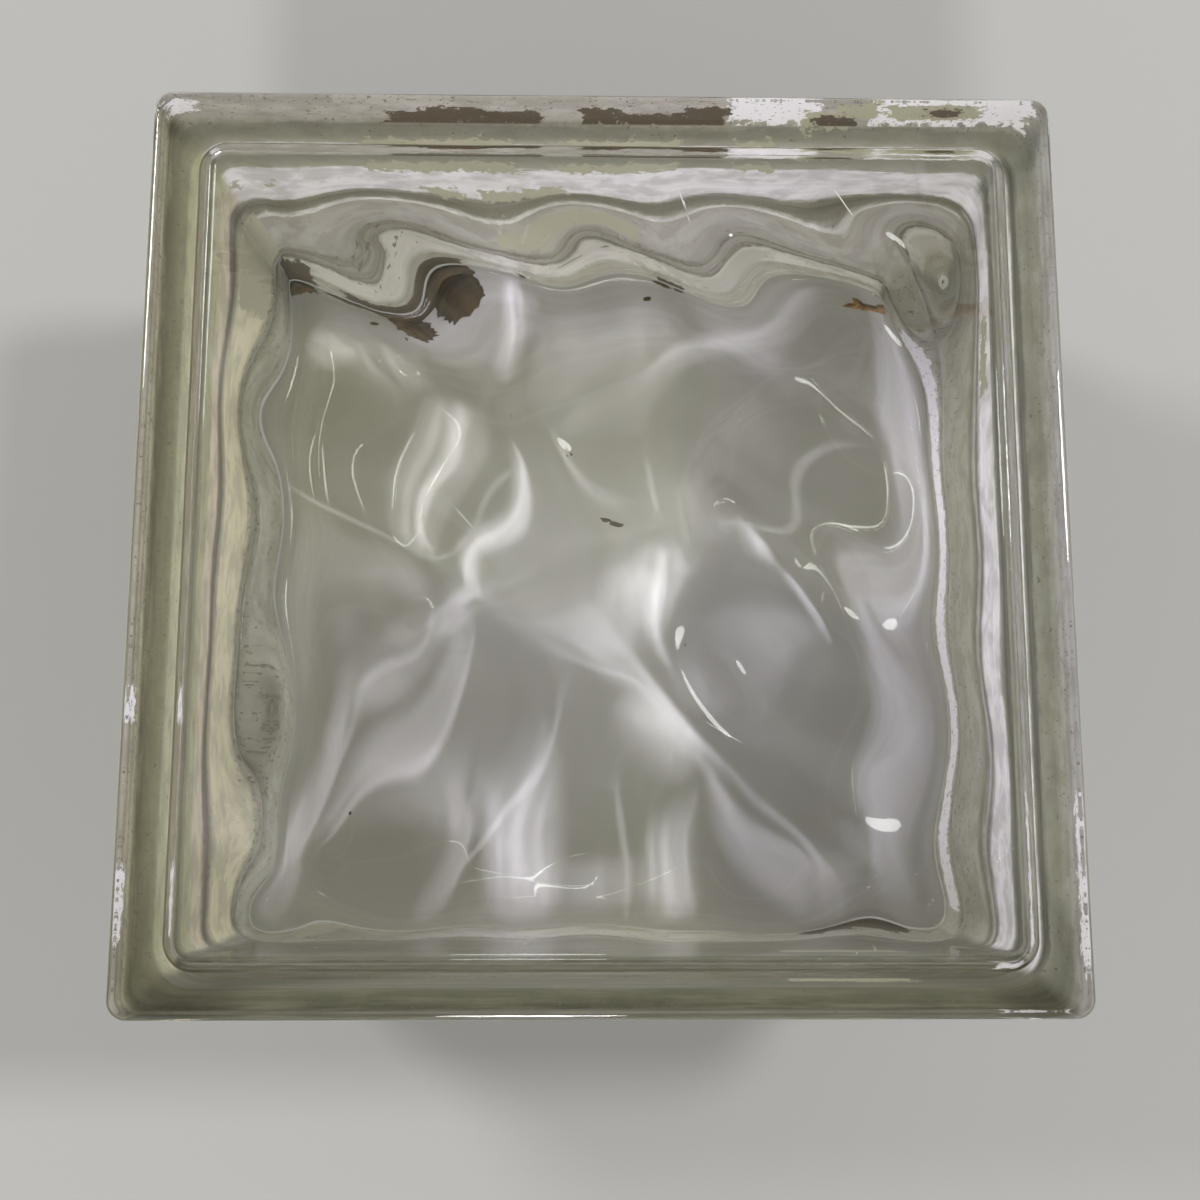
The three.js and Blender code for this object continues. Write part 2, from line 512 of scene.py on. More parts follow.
def make_piece(name: str, mesh: bmesh.types.BMesh, finish: bpy.types.Material) -> bpy.types.Object:
    """Turn a mesh in millimetres into a piece that rides on the block.

    Args:
        name: Name of the piece.
        mesh: The mesh, which is freed.
        finish: The material of all its faces.

    Returns:
        The new object.
    """
    bmesh.ops.scale(mesh, verts=mesh.verts, vec=(MM, MM, MM))
    data = bpy.data.meshes.new(name)
    mesh.to_mesh(data)
    mesh.free()
    data.shade_smooth()
    data.materials.append(finish)
    piece = bpy.data.objects.new(name, data)
    bpy.context.scene.collection.objects.link(piece)
    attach(piece, "root")
    return piece


# ------------------------------------------------------------------ node helpers

Socket = bpy.types.NodeSocket
Value = float | tuple[float, ...] | Socket


class Sheet:
    """A node tree with short ways to add and join nodes."""

    def __init__(self, tree: bpy.types.NodeTree) -> None:
        """Take a tree to work on."""
        self.tree = tree

    def node(self, kind: str, **settings: object) -> bpy.types.Node:
        """Add a node.

        Args:
            kind: Type name of the node without its ShaderNode prefix.
            settings: Properties to set on it.

        Returns:
            The new node.
        """
        node = self.tree.nodes.new("ShaderNode" + kind)
        for name, value in settings.items():
            setattr(node, name, value)
        return node

    def feed(self, socket: Socket, value: Value) -> None:
        """Join a socket to another one, or give it a plain value.

        Args:
            socket: The input socket.
            value: The socket or plain value that goes into it.
        """
        if isinstance(value, Socket):
            self.tree.links.new(value, socket)
        elif socket.type == "RGBA":
            socket.default_value = (*value, 1.0)
        else:
            socket.default_value = value

    def math(self, operation: str, *values: Value) -> Socket:
        """Return the result of a Math node.

        Args:
            operation: Name of the operation.
            values: What goes into it, in order.

        Returns:
            The result's socket.
        """
        node = self.node("Math", operation=operation)
        for socket, value in zip(node.inputs, values):
            self.feed(socket, value)
        return node.outputs[0]

    def ease(self, value: Value, low: float, high: float) -> Socket:
        """Return a value eased from 0 at low to 1 at high; low may be the larger.

        Args:
            value: The number to ease.
            low: Where the result is 0.
            high: Where the result is 1.

        Returns:
            The eased number.
        """
        node = self.node("MapRange", interpolation_type="SMOOTHSTEP")
        turned = low > high
        self.feed(node.inputs["Value"], value)
        self.feed(node.inputs["From Min"], min(low, high))
        self.feed(node.inputs["From Max"], max(low, high))
        self.feed(node.inputs["To Min"], 1.0 if turned else 0.0)
        self.feed(node.inputs["To Max"], 0.0 if turned else 1.0)
        return node.outputs["Result"]

    def blend(self, share: Value, first: Value, second: Value) -> Socket:
        """Return the colour that goes from the first to the second as the share goes from 0 to 1.

        Args:
            share: How much of the second colour there is.
            first: The first colour.
            second: The second colour.

        Returns:
            The blended colour.
        """
        node = self.node("Mix", data_type="RGBA")
        self.feed(node.inputs["Factor"], share)
        start, end = (socket for socket in node.inputs if socket.type == "RGBA")
        self.feed(start, first)
        self.feed(end, second)
        return next(socket for socket in node.outputs if socket.type == "RGBA")

    def mix(self, share: Value, first: Value, second: Value) -> Socket:
        """Return the number that goes from the first to the second as the share goes from 0 to 1.

        Args:
            share: How much of the second number there is.
            first: The first number.
            second: The second number.

        Returns:
            The mixed number.
        """
        node = self.node("Mix", data_type="FLOAT")
        for number, value in ((0, share), (2, first), (3, second)):
            self.feed(node.inputs[number], value)
        return node.outputs[0]

    def place(self, scale: tuple[float, float, float] = (1.0, 1.0, 1.0)) -> Socket:
        """Return the place on the object in millimetres, stretched by a scale.

        Args:
            scale: The stretch along each axis.

        Returns:
            The place as a vector.
        """
        node = self.node("VectorMath", operation="MULTIPLY")
        self.feed(node.inputs[0], self.node("TexCoord").outputs["Object"])
        self.feed(node.inputs[1], tuple(factor / MM for factor in scale))
        return node.outputs[0]

    def axes(self) -> tuple[Socket, Socket, Socket]:
        """Return the place on the object along X, Y and Z in millimetres.

        Returns:
            The three numbers.
        """
        node = self.node("SeparateXYZ")
        self.feed(node.inputs[0], self.place())
        return node.outputs[0], node.outputs[1], node.outputs[2]

    def noise(self, place: Socket, scale: Value, detail: float = 2.0, roughness: float = 0.5) -> Socket:
        """Return soft noise from about 0 to 1.

        Args:
            place: Where to read the noise.
            scale: Number of waves per unit.
            detail: Number of finer layers.
            roughness: Strength of the finer layers.

        Returns:
            The noise's socket.
        """
        node = self.node("TexNoise")
        self.feed(node.inputs["Vector"], place)
        self.feed(node.inputs["Scale"], scale)
        self.feed(node.inputs["Detail"], detail)
        self.feed(node.inputs["Roughness"], roughness)
        return node.outputs["Fac"]

    def use(self, group: bpy.types.ShaderNodeTree, grain: float) -> Socket:
        """Place a node group.

        Args:
            group: The group.
            grain: How fine its noise is, in waves per millimetre.

        Returns:
            The socket of the value it gives out.
        """
        node = self.node("Group", node_tree=group)
        self.feed(node.inputs["Grain"], grain)
        return node.outputs["Value"]


def new_finish(name: str) -> tuple[bpy.types.Material, Sheet, bpy.types.Node]:
    """Start a material, and return it with its sheet and its Principled shader.

    Args:
        name: Name of the material.

    Returns:
        The material, its sheet and its Principled shader.
    """
    material = bpy.data.materials.new(name)
    material.use_nodes = True
    return material, Sheet(material.node_tree), material.node_tree.nodes["Principled BSDF"]


# ------------------------------------------------------------------ shared effects


class Effects:
    """The shader effects that several finishes share, each built once as a node group."""

    def __init__(self) -> None:
        """Build the groups."""
        self.specks = self._noise_group("scattered_specks", (1.0, 1.0, 1.0), 2.0, 0.7)
        self.streaks = self._noise_group("side_streaks", (0.06, 0.06, 1.0), 3.0, 0.6)

    @staticmethod
    def _noise_group(
        name: str, stretch: tuple[float, float, float], detail: float, roughness: float
    ) -> bpy.types.ShaderNodeTree:
        """Build a group that gives out noise of a grain that its user sets.

        Args:
            name: Name of the group.
            stretch: How fast the noise varies along each axis.
            detail: Number of finer layers.
            roughness: Strength of the finer layers.

        Returns:
            The group.
        """
        tree = bpy.data.node_groups.new(name, "ShaderNodeTree")
        grain = tree.interface.new_socket("Grain", in_out="INPUT", socket_type="NodeSocketFloat")
        grain.default_value = 1.0
        tree.interface.new_socket("Value", in_out="OUTPUT", socket_type="NodeSocketFloat")
        given = tree.nodes.new("NodeGroupInput").outputs["Grain"]
        value = tree.nodes.new("NodeGroupOutput").inputs["Value"]
        sheet = Sheet(tree)
        sheet.feed(value, sheet.noise(sheet.place(stretch), given, detail, roughness))
        return tree


# ------------------------------------------------------------------ finishes


class Side(Enum):
    """A side of the block, by the way it faces."""

    BACK = (0, 1)
    LEFT = (-1, 0)
    RIGHT = (1, 0)
    FRONT = (0, -1)


class Wear(Enum):
    """What a patch of the edge coating has become."""

    CHIP = "chip"  # the paint is off and an olive film shows
    MORTAR = "mortar"  # brown mortar residue sticks to it
    WHITE = "white"  # clean bright paint, and along the right rim a painted highlight


OUTSIDE = -9.0  # depth of a place that is nowhere near a patch, in millimetres
CORNER_OVERLAP = 2.0  # how far a side's patches reach round its corners, in millimetres


@dataclass(frozen=True)
class Patch:
    """A ragged stretch of the edge coating: a box along one side and up it, in millimetres."""

    wear: Wear
    side: Side
    along: tuple[float, float]
    z: tuple[float, float]

    def depth(self, place: Vector) -> float:
        """Return how deep a place lies inside the patch, negative outside.

        Args:
            place: A place on the coating in millimetres.

        Returns:
            The distance to the patch's nearest edge in millimetres.
        """
        facing = Vector(self.side.value)
        outward = place.xy.dot(facing)
        if outward < max(abs(place.x), abs(place.y)) - CORNER_OVERLAP:
            return OUTSIDE
        run = place.y if facing.x else place.x
        return min(run - self.along[0], self.along[1] - run, place.z - self.z[0], self.z[1] - place.z)


PATCHES = (
    # back, upper shoulder
    Patch(Wear.MORTAR, Side.BACK, (-48, -37), (62.5, 67.5)),
    Patch(Wear.MORTAR, Side.BACK, (-39, -26), (62.5, 71)),
    Patch(Wear.MORTAR, Side.BACK, (-27, -14), (62.5, 68.5)),
    Patch(Wear.MORTAR, Side.BACK, (-5, 3), (62.5, 71.5)),
    Patch(Wear.MORTAR, Side.BACK, (2, 20), (62.5, 68)),
    Patch(Wear.MORTAR, Side.BACK, (18, 27), (62.5, 72)),
    Patch(Wear.WHITE, Side.BACK, (27, 47), (63.5, 76)),
    Patch(Wear.CHIP, Side.BACK, (44, 53), (62.5, 70)),
    Patch(Wear.CHIP, Side.BACK, (50, 60), (65.5, 75)),
    Patch(Wear.MORTAR, Side.BACK, (46, 56), (62.5, 67.5)),
    Patch(Wear.WHITE, Side.BACK, (58, 93), (63.5, 77)),
    Patch(Wear.CHIP, Side.BACK, (62, 82), (65, 74.5)),
    Patch(Wear.MORTAR, Side.BACK, (70, 78), (67, 72)),
    Patch(Wear.WHITE, Side.BACK, (-94, -88), (66, 75)),
    # back, channels
    Patch(Wear.CHIP, Side.BACK, (-54, -20), (55, 60)),
    Patch(Wear.CHIP, Side.BACK, (-12, 17), (56.2, 60)),
    Patch(Wear.CHIP, Side.BACK, (30, 40), (56.2, 60)),
    Patch(Wear.CHIP, Side.BACK, (-28, 8), (24, 32)),
    Patch(Wear.CHIP, Side.BACK, (-88, -86), (49, 52)),
    Patch(Wear.CHIP, Side.BACK, (-79, -77), (50, 52)),
    Patch(Wear.CHIP, Side.BACK, (-42, -33), (43, 46.8)),
    Patch(Wear.CHIP, Side.BACK, (-29, -8), (43, 47.6)),
    # back, lower shoulder
    Patch(Wear.MORTAR, Side.BACK, (-94, -75), (-2, 14)),
    Patch(Wear.MORTAR, Side.BACK, (-66, -46), (-2, 6.5)),
    Patch(Wear.MORTAR, Side.BACK, (-22, -17), (-2, 3)),
    Patch(Wear.MORTAR, Side.BACK, (14, 28), (-2, 3)),
    # left
    Patch(Wear.WHITE, Side.LEFT, (-80, -66), (70, 73.5)),
    Patch(Wear.WHITE, Side.LEFT, (-38, -31), (69, 74)),
    Patch(Wear.CHIP, Side.LEFT, (65, 94), (22, 38)),
    Patch(Wear.CHIP, Side.LEFT, (20, 34), (52, 58)),
    # right
    # painted highlight: bright paint along the right rim stands in for a glint
    Patch(Wear.WHITE, Side.RIGHT, (-88, -52), (71, 74.5)),
    Patch(Wear.WHITE, Side.RIGHT, (-86, 72), (5, 12.5)),
    Patch(Wear.CHIP, Side.RIGHT, (40, 58), (45, 50)),
    # front
    Patch(Wear.WHITE, Side.FRONT, (80, 91), (66, 73)),
    Patch(Wear.CHIP, Side.FRONT, (40, 66), (43, 49)),
    Patch(Wear.MORTAR, Side.FRONT, (52, 80), (-2, 8)),
)

# a side's paint up its height: millimetres from the lower face, colour, and how speckled with dirt. The colours
# hold painted light as well as paint: each side is a differently lit copy of the one coating, the dark stops at
# the creases, seam bead and slope are painted shade, and thin bright stops such as the back's at 36.4 mm are
# painted highlights.
Stop = tuple[float, Colour, float]
BACK_PAINT_AND_LIGHT: tuple[Stop, ...] = (
    (2, (0.50, 0.49, 0.42), 0.2),
    (8, (0.38, 0.37, 0.30), 0.3),
    (9.5, (0.60, 0.59, 0.52), 0.2),
    (14.5, (0.58, 0.57, 0.50), 0.3),
    (15.4, (0.14, 0.13, 0.08), 0.6),
    (16.8, (0.38, 0.37, 0.31), 0.4),
    (20, (0.30, 0.29, 0.22), 0.5),
    (20.7, (0.14, 0.135, 0.09), 0.7),
    (22.5, (0.34, 0.33, 0.275), 0.3),
    (28, (0.43, 0.415, 0.37), 0.1),
    (35.6, (0.37, 0.355, 0.29), 0.1),
    (36.4, (0.84, 0.83, 0.78), 0.0),
    (38, (0.19, 0.185, 0.125), 0.5),
    (40.3, (0.11, 0.105, 0.065), 0.6),
    (43.4, (0.22, 0.21, 0.15), 0.4),
    (44.4, (0.78, 0.765, 0.75), 0.0),
    (56.8, (0.80, 0.79, 0.78), 0.0),
    (57.6, (0.34, 0.33, 0.25), 0.2),
    (60, (0.27, 0.265, 0.205), 0.2),
    (62.6, (0.20, 0.195, 0.15), 0.3),
    (64, (0.38, 0.355, 0.305), 0.35),
    (71, (0.46, 0.435, 0.39), 0.4),
    (76, (0.40, 0.375, 0.32), 0.5),
)
# painted light: the left's warm cream is a lit copy of the coating, its dark stops painted shade
LEFT_PAINT_AND_LIGHT: tuple[Stop, ...] = (
    (2, (0.36, 0.36, 0.30), 0.4),
    (12, (0.40, 0.40, 0.32), 0.5),
    (15.5, (0.18, 0.18, 0.12), 0.8),
    (17.5, (0.48, 0.48, 0.36), 0.4),
    (20.7, (0.24, 0.23, 0.16), 0.8),
    (23, (0.64, 0.62, 0.40), 0.2),
    (36, (0.70, 0.67, 0.44), 0.1),
    (38.5, (0.40, 0.38, 0.28), 0.4),
    (40.5, (0.12, 0.11, 0.07), 0.7),
    (43.4, (0.20, 0.18, 0.13), 0.5),
    (45, (0.66, 0.60, 0.42), 0.1),
    (50.5, (0.62, 0.58, 0.40), 0.1),
    (52.5, (0.46, 0.46, 0.28), 0.3),
    (57.5, (0.42, 0.44, 0.25), 0.3),
    (60, (0.24, 0.23, 0.14), 0.4),
    (63.4, (0.10, 0.095, 0.055), 0.4),
    (65.5, (0.26, 0.245, 0.14), 0.5),
    (67, (0.44, 0.42, 0.28), 0.5),
    (68.5, (0.27, 0.26, 0.16), 0.5),
    (70.5, (0.42, 0.39, 0.28), 0.5),
    (72, (0.23, 0.21, 0.13), 0.5),
    (74.5, (0.50, 0.47, 0.40), 0.5),
    (76, (0.24, 0.22, 0.16), 0.5),
)
# painted light: the right is a lit copy of the coating, its dark stops painted shade and its thin bright stops
# painted highlights
RIGHT_PAINT_AND_LIGHT: tuple[Stop, ...] = (
    (2, (0.44, 0.44, 0.36), 0.4),
    (12, (0.50, 0.50, 0.42), 0.4),
    (15.5, (0.24, 0.24, 0.17), 0.7),
    (17.5, (0.40, 0.40, 0.31), 0.4),
    (21, (0.30, 0.30, 0.22), 0.5),
    (29, (0.36, 0.36, 0.27), 0.5),
    (36, (0.40, 0.40, 0.31), 0.2),
    (38.6, (0.16, 0.15, 0.10), 0.4),
    (40.4, (0.55, 0.54, 0.48), 0.0),
    (42.4, (0.15, 0.14, 0.10), 0.3),
    (44.6, (0.97, 0.95, 0.95), 0.0),
    (52.5, (0.98, 0.96, 0.96), 0.0),
    (54, (0.34, 0.34, 0.27), 0.3),
    (56, (0.10, 0.105, 0.08), 0.4),
    (59.5, (0.13, 0.135, 0.10), 0.4),
    (61, (0.28, 0.28, 0.23), 0.3),
    (62.5, (0.22, 0.22, 0.18), 0.3),
    (65, (0.36, 0.355, 0.31), 0.4),
    (67.5, (0.42, 0.405, 0.37), 0.4),
    (69.5, (0.33, 0.325, 0.29), 0.4),
    (72, (0.46, 0.445, 0.43), 0.5),
    (74.5, (0.36, 0.345, 0.33), 0.4),
    (76, (0.18, 0.175, 0.155), 0.5),
)
# painted shade: the front is a darker shaded copy of the coating, darkest at its creases and slope
FRONT_PAINT_AND_LIGHT: tuple[Stop, ...] = (
    (2, (0.50, 0.49, 0.40), 0.3),
    (14.5, (0.56, 0.55, 0.45), 0.4),
    (15.5, (0.24, 0.24, 0.16), 0.6),
    (20.7, (0.28, 0.28, 0.20), 0.6),
    (23, (0.16, 0.165, 0.115), 0.3),
    (36, (0.18, 0.18, 0.13), 0.3),
    (38, (0.16, 0.15, 0.10), 0.5),
    (43.4, (0.18, 0.17, 0.12), 0.5),
    (45, (0.15, 0.155, 0.105), 0.3),
    (57, (0.17, 0.17, 0.115), 0.3),
    (60, (0.13, 0.13, 0.085), 0.4),
    (63.4, (0.06, 0.06, 0.035), 0.4),
    (65.5, (0.10, 0.10, 0.065), 0.4),
    (68, (0.20, 0.185, 0.145), 0.4),
    (70, (0.08, 0.08, 0.05), 0.4),
    (73.5, (0.24, 0.225, 0.19), 0.4),
    (76, (0.09, 0.085, 0.06), 0.4),
)


TOP = 80.0  # height of the paint's scale, the block's thickness
SLOPE_FOOT = (52, 50)  # heights between which mortar and white paint stop below the upper slope
SLOPE_TOP = (63.1, 63.4)  # and between which they start again above it


@dataclass(frozen=True)
class WornCoating:
    """The pale coating that mortar grips on the block's edge, worn, chipped and grimy, its side colours also
    holding painted light and shade.
    """

    mortar: Colour = (0.085, 0.064, 0.035)
    chip: Colour = (0.38, 0.37, 0.25)
    white: Colour = (0.82, 0.80, 0.80)
    dirt: Colour = (0.13, 0.115, 0.08)
    ragged: float = 5.0  # how far the edges of patches wander, in millimetres
    soft: float = 0.25  # half of the width over which a patch's edge blends, in millimetres
    corner: float = 2.5  # how wide the paints of two sides blend at a corner, in millimetres
    rim: float = 2.4  # how far below the flat faces the coating is worn off, in millimetres
    rim_ragged: float = 2.5
    rim_fade: float = 0.4  # the width over which it fades away there, in millimetres
    speck_grain: float = 0.85
    streak_grain: float = 0.8
    sway: float = 3.0  # how far the bands of paint wander up and down with the streaks
    waver: float = 1.1  # and with the fine raggedness
    mottled: float = 0.34  # strength of the dirty clouds
    washed: float = 0.45  # strength of the thin streaks
    spotted: float = 0.85  # strength of the dirt specks
    bump: float = 0.35
    bump_height: float = 0.25  # millimetres

    def material(self, sizes: BlockSizes, effects: Effects) -> bpy.types.Material:
        """Return the coating as a material.

        Args:
            sizes: Sizes of the block, which place the worn rim.
            effects: The shared effects.

        Returns:
            The material.
        """
        material, sheet, shader = new_finish("worn_edge_coating")
        material.use_transparent_shadow = False
        cloud = sheet.noise(sheet.place(), 0.33, 4.0, 0.7)
        rag = sheet.math("MULTIPLY", sheet.math("SUBTRACT", cloud, 0.5), 2.0)
        specks = sheet.use(effects.specks, self.speck_grain)
        sheet.feed(shader.inputs["Base Color"], self._colour(sheet, effects, rag, specks))
        _, _, z = sheet.axes()
        worn = sheet.math("MULTIPLY_ADD", rag, self.rim_ragged, sheet.math("SUBTRACT", sizes.thickness, z))
        sheet.feed(shader.inputs["Alpha"], sheet.ease(worn, self.rim - self.rim_fade, self.rim))
        shader.inputs["Roughness"].default_value = 0.8
        bump = sheet.node("Bump")
        bump.inputs["Strength"].default_value = self.bump
        bump.inputs["Distance"].default_value = self.bump_height * MM
        sheet.feed(bump.inputs["Height"], sheet.noise(sheet.place(), 0.9, 3.0, 0.6))
        sheet.feed(shader.inputs["Normal"], bump.outputs["Normal"])
        return material

    def _colour(self, sheet: Sheet, effects: Effects, rag: Socket, specks: Socket) -> Socket:
        """Return the coating's colour: each side's paint with its painted light and shade, its streaks, its
        patches and the dirt.

        Args:
            sheet: The material's sheet.
            effects: The shared effects.
            rag: Fine raggedness from about -1 to 1.
            specks: The value that peaks in specks.

        Returns:
            The colour.
        """
        x, y, z = sheet.axes()
        streaks = sheet.use(effects.streaks, self.streak_grain)
        sway = sheet.math("MULTIPLY_ADD", streaks, self.sway, -self.sway / 2)
        height = sheet.math("ADD", z, sheet.math("ADD", sway, sheet.math("MULTIPLY", rag, self.waver)))
        across = sheet.math("SUBTRACT", sheet.math("ABSOLUTE", x), sheet.math("ABSOLUTE", y))
        flank = sheet.ease(across, -self.corner, self.corner)
        right = sheet.ease(x, -self.corner, self.corner)
        behind = sheet.ease(y, -self.corner, self.corner)
        back, back_dirt = self._paint_and_light(sheet, height, BACK_PAINT_AND_LIGHT)
        front, front_dirt = self._paint_and_light(sheet, height, FRONT_PAINT_AND_LIGHT)
        west, west_dirt = self._paint_and_light(sheet, height, LEFT_PAINT_AND_LIGHT)
        east, east_dirt = self._paint_and_light(sheet, height, RIGHT_PAINT_AND_LIGHT)
        ends = sheet.blend(behind, front, back)
        colour = sheet.blend(flank, ends, sheet.blend(right, west, east))
        end_dirt = sheet.mix(behind, front_dirt, back_dirt)
        dirt = sheet.mix(flank, end_dirt, sheet.mix(right, west_dirt, east_dirt))
        off_slope = sheet.math("MAXIMUM", sheet.ease(z, *SLOPE_FOOT), sheet.ease(z, *SLOPE_TOP))
        mottle = sheet.ease(sheet.noise(sheet.place((1.0, 1.0, 1.6)), 0.11, 3.0, 0.62), 0.4, 0.62)
        colour = sheet.blend(sheet.math("MULTIPLY", mottle, self.mottled), colour, self.dirt)
        wash = sheet.ease(streaks, 0.35, 0.7)
        faded = sheet.blend(0.5, colour, self.chip)
        colour = sheet.blend(sheet.math("MULTIPLY", wash, self.washed), colour, faded)
        for wear, paint in ((Wear.WHITE, self.white), (Wear.CHIP, self.chip), (Wear.MORTAR, self.mortar)):
            depth = sheet.node("Attribute", attribute_name=wear.value).outputs["Fac"]
            edge = sheet.math("MULTIPLY_ADD", rag, self.ragged, depth)
            mask = sheet.ease(edge, -self.soft, self.soft)
            if wear is not Wear.CHIP:
                mask = sheet.math("MULTIPLY", mask, off_slope)
            colour = sheet.blend(mask, colour, paint)
        limit = sheet.math("MULTIPLY_ADD", dirt, -0.22, 0.72)
        spotted = sheet.ease(sheet.math("SUBTRACT", specks, limit), 0.0, 0.04)
        return sheet.blend(sheet.math("MULTIPLY", spotted, self.spotted), colour, self.dirt)

    @staticmethod
    def _paint_and_light(sheet: Sheet, height: Socket, stops: tuple[Stop, ...]) -> tuple[Socket, Socket]:
        """Return the paint of one side and how speckled it is, by the height in millimetres.

        Args:
            sheet: The material's sheet.
            height: Height above the lower face in millimetres.
            stops: The side's paint, with its painted light and shade.

        Returns:
            The colour of paint and painted light and shade, and how speckled it is from 0 to 1.
        """
        ramp = sheet.node("ValToRGB")
        sheet.feed(ramp.inputs["Fac"], sheet.math("MULTIPLY", height, 1 / TOP))
        band = ramp.color_ramp
        band.elements.remove(band.elements[1])
        for number, (level, colour, dirt) in enumerate(stops):
            stop = band.elements[0] if number == 0 else band.elements.new(level / TOP)
            stop.position = level / TOP
            stop.color = (*colour, dirt)
        return ramp.outputs["Color"], ramp.outputs["Alpha"]


THREADS_ACROSS, THREADS_ALONG = 0.3, 0.025  # fineness of a gleam's threads, in waves per millimetre
BLUNTNESS = 1.4  # how blunt a gleam's ends are
SOFTNESS = 1.7  # how softly it fades out


@dataclass(frozen=True)
class Gleam:
    """A soft stroke of light on the lower face, in millimetres.

    It stands for light that the glass gathers, and is listed one by one: it isn't worked out from the waves.
    """

    x: float
    y: float
    heading: float  # degrees from +X
    reach: float  # half of its length
    width: float
    glow: float
    bend: float = 0.0  # how far its ends curl towards its left side
    edge: float = 0.0  # how much sharper its left side is than its right side
    combed: float = 0.9  # how much it is combed into threads along its length

    def light(self, x: float, y: float) -> float:
        """Return how much light it adds at a place.

        Args:
            x: Place along X in millimetres.
            y: Place along Y in millimetres.

        Returns:
            The added light, as a share of the plain light.
        """
        turn = math.radians(self.heading)
        ahead, aside = math.cos(turn), math.sin(turn)
        run = (x - self.x) * ahead + (y - self.y) * aside
        if abs(run) >= self.reach:
            return 0.0
        along = (run / self.reach) ** 2
        side = (y - self.y) * ahead - (x - self.x) * aside - self.bend * along
        across = side / self.width * (1 + self.edge * (side > 0))
        left = 1.0 - along**BLUNTNESS - across * across
        if left <= 0:
            return 0.0
        threads = 1 + self.combed * noise.noise(Vector((side * THREADS_ACROSS, run * THREADS_ALONG, self.x)))
        return self.glow * threads * left**SOFTNESS


GLEAMS = (
    # broad pools and bands
    Gleam(0, 5, 90, 92, 84, 0.42, combed=0.4),
    Gleam(4, 12, 20, 48, 32, 0.35, combed=0.6),
    Gleam(6, -2, -64, 14, 28.8, 0.9),
    Gleam(-40, -50, -112, 19, 19.4, 0.9),
    Gleam(35, -21, -72, 9, 19.4, 0.6),
    Gleam(2, -77, -82, 10, 20.0, 0.8),
    Gleam(-33, 80, -3, 25, 14.6, 0.9),
    Gleam(42, 78, -17, 16, 16.4, 0.6),
    Gleam(69, -68, -86, 14, 16.4, 0.5),
    Gleam(-60, 3, -155, 15, 18.2, 0.6),
    Gleam(3, 68, -79, 16, 22.8, 0.7),
    Gleam(25, 27, -82, 20, 25.8, 0.4),
    Gleam(-62, 64, -53, 24, 18.2, 0.8),
    Gleam(-27, 78, -88, 16, 7.3, 1.9, bend=1.6),
    Gleam(-46, 34, 70, 21, 10.9, 1.5),
    Gleam(-76, 63, -42, 10, 10.3, 1.4),
    Gleam(-23, 20, -80, 20, 6.7, 1.7, bend=-2.1, edge=0.6),
    Gleam(-38, -9, -138, 29, 7.9, 1.4, bend=2.1),
    Gleam(-69, -49, -117, 40, 9.1, 1.1, bend=-4.8, edge=0.5),
    Gleam(-48, -40, -126, 41, 7.9, 1.0, bend=-5.8, edge=0.8),
    Gleam(-20, -64, -90, 29, 13.4, 2.5),
    Gleam(-39, -66, -102, 25, 9.1, 1.0, bend=-2.6, edge=0.8),
    Gleam(13, -28, -49, 39, 9.7, 1.8, bend=3.7, edge=0.6),
    Gleam(15, -40, -41, 17, 10.3, 2.2, bend=1.6),
    Gleam(37, -66, -55, 25, 3.9, 1.4, bend=2.6, edge=0.8),
    Gleam(20, -72, -88, 19, 8.5, 1.6),
    Gleam(16, -5, -62, 18, 6.7, 1.4, bend=1.6, edge=0.8),
    Gleam(12, 2, -25, 18, 10.3, 1.1),
    Gleam(82, 31, -92, 67, 9.1, 1.4),
    Gleam(79, -52, -89, 44, 8.5, 1.1),
    Gleam(27, 67, -145, 41, 5.5, 1.0, bend=2.1),
    Gleam(46, 18, -102, 15, 4.6, 1.5, bend=-2.6, edge=0.6),
    Gleam(50, -7, -70, 19, 4.6, 1.4, bend=2.1, edge=0.6),
    Gleam(-83, -68, -101, 26, 7.9, 1.0),
    Gleam(44, 66, 157, 20, 12.1, 0.5),
    Gleam(55, -79, -35, 17, 9.1, 0.6),
    Gleam(-80, 1, -103, 34, 12.1, 0.4),
    # thin threads where the light folds over
    Gleam(-24, 20, -89, 22, 1.6, 1.2, bend=-3.7),
    Gleam(-2, 34, -82, 14, 1.6, 0.9, bend=-2.1),
    Gleam(6, 32, -85, 14, 1.6, 0.9, bend=2.6),
    Gleam(-45, 33, -84, 18, 1.6, 1.0, bend=3.2),
    Gleam(-58, 60, -81, 15, 1.6, 0.8),
    Gleam(-67, 62, -80, 13, 1.6, 0.6),
    Gleam(-70, 25, -19, 28, 1.6, 0.9, bend=1.6),
    Gleam(-36, 23, 26, 13, 1.6, 0.8, bend=1.1),
    Gleam(54, 30, -156, 23, 1.6, 0.8, bend=-1.6),
    Gleam(-23, -55, -122, 36, 1.8, 1.1, bend=-5.8),
    Gleam(-47, -43, -125, 41, 1.6, 0.9, bend=-5.3),
    Gleam(-62, -43, -118, 41, 1.6, 0.8, bend=-4.2),
    Gleam(6, -25, -30, 27, 1.6, 0.7, bend=2.1),
    Gleam(8, -66, -83, 25, 1.6, 0.9, bend=-1.6),
    Gleam(15, -71, -88, 21, 1.3, 0.8),
    Gleam(24, -70, -89, 20, 1.3, 0.8),
    Gleam(-24, -68, -91, 26, 1.3, 0.8),
    Gleam(-14, -67, -89, 25, 1.3, 0.7),
    Gleam(43, -66, -61, 23, 1.6, 1.2, bend=2.6),
    Gleam(46, 18, -104, 10, 1.6, 1.1, bend=-2.1),
    Gleam(49, -3, -68, 15, 1.6, 1.0, bend=2.1),
    Gleam(77, 46, -91, 41, 1.6, 0.7),
    Gleam(86, 38, -92, 50, 1.6, 0.7),
    Gleam(-86, -70, -93, 20, 1.3, 0.8),
)


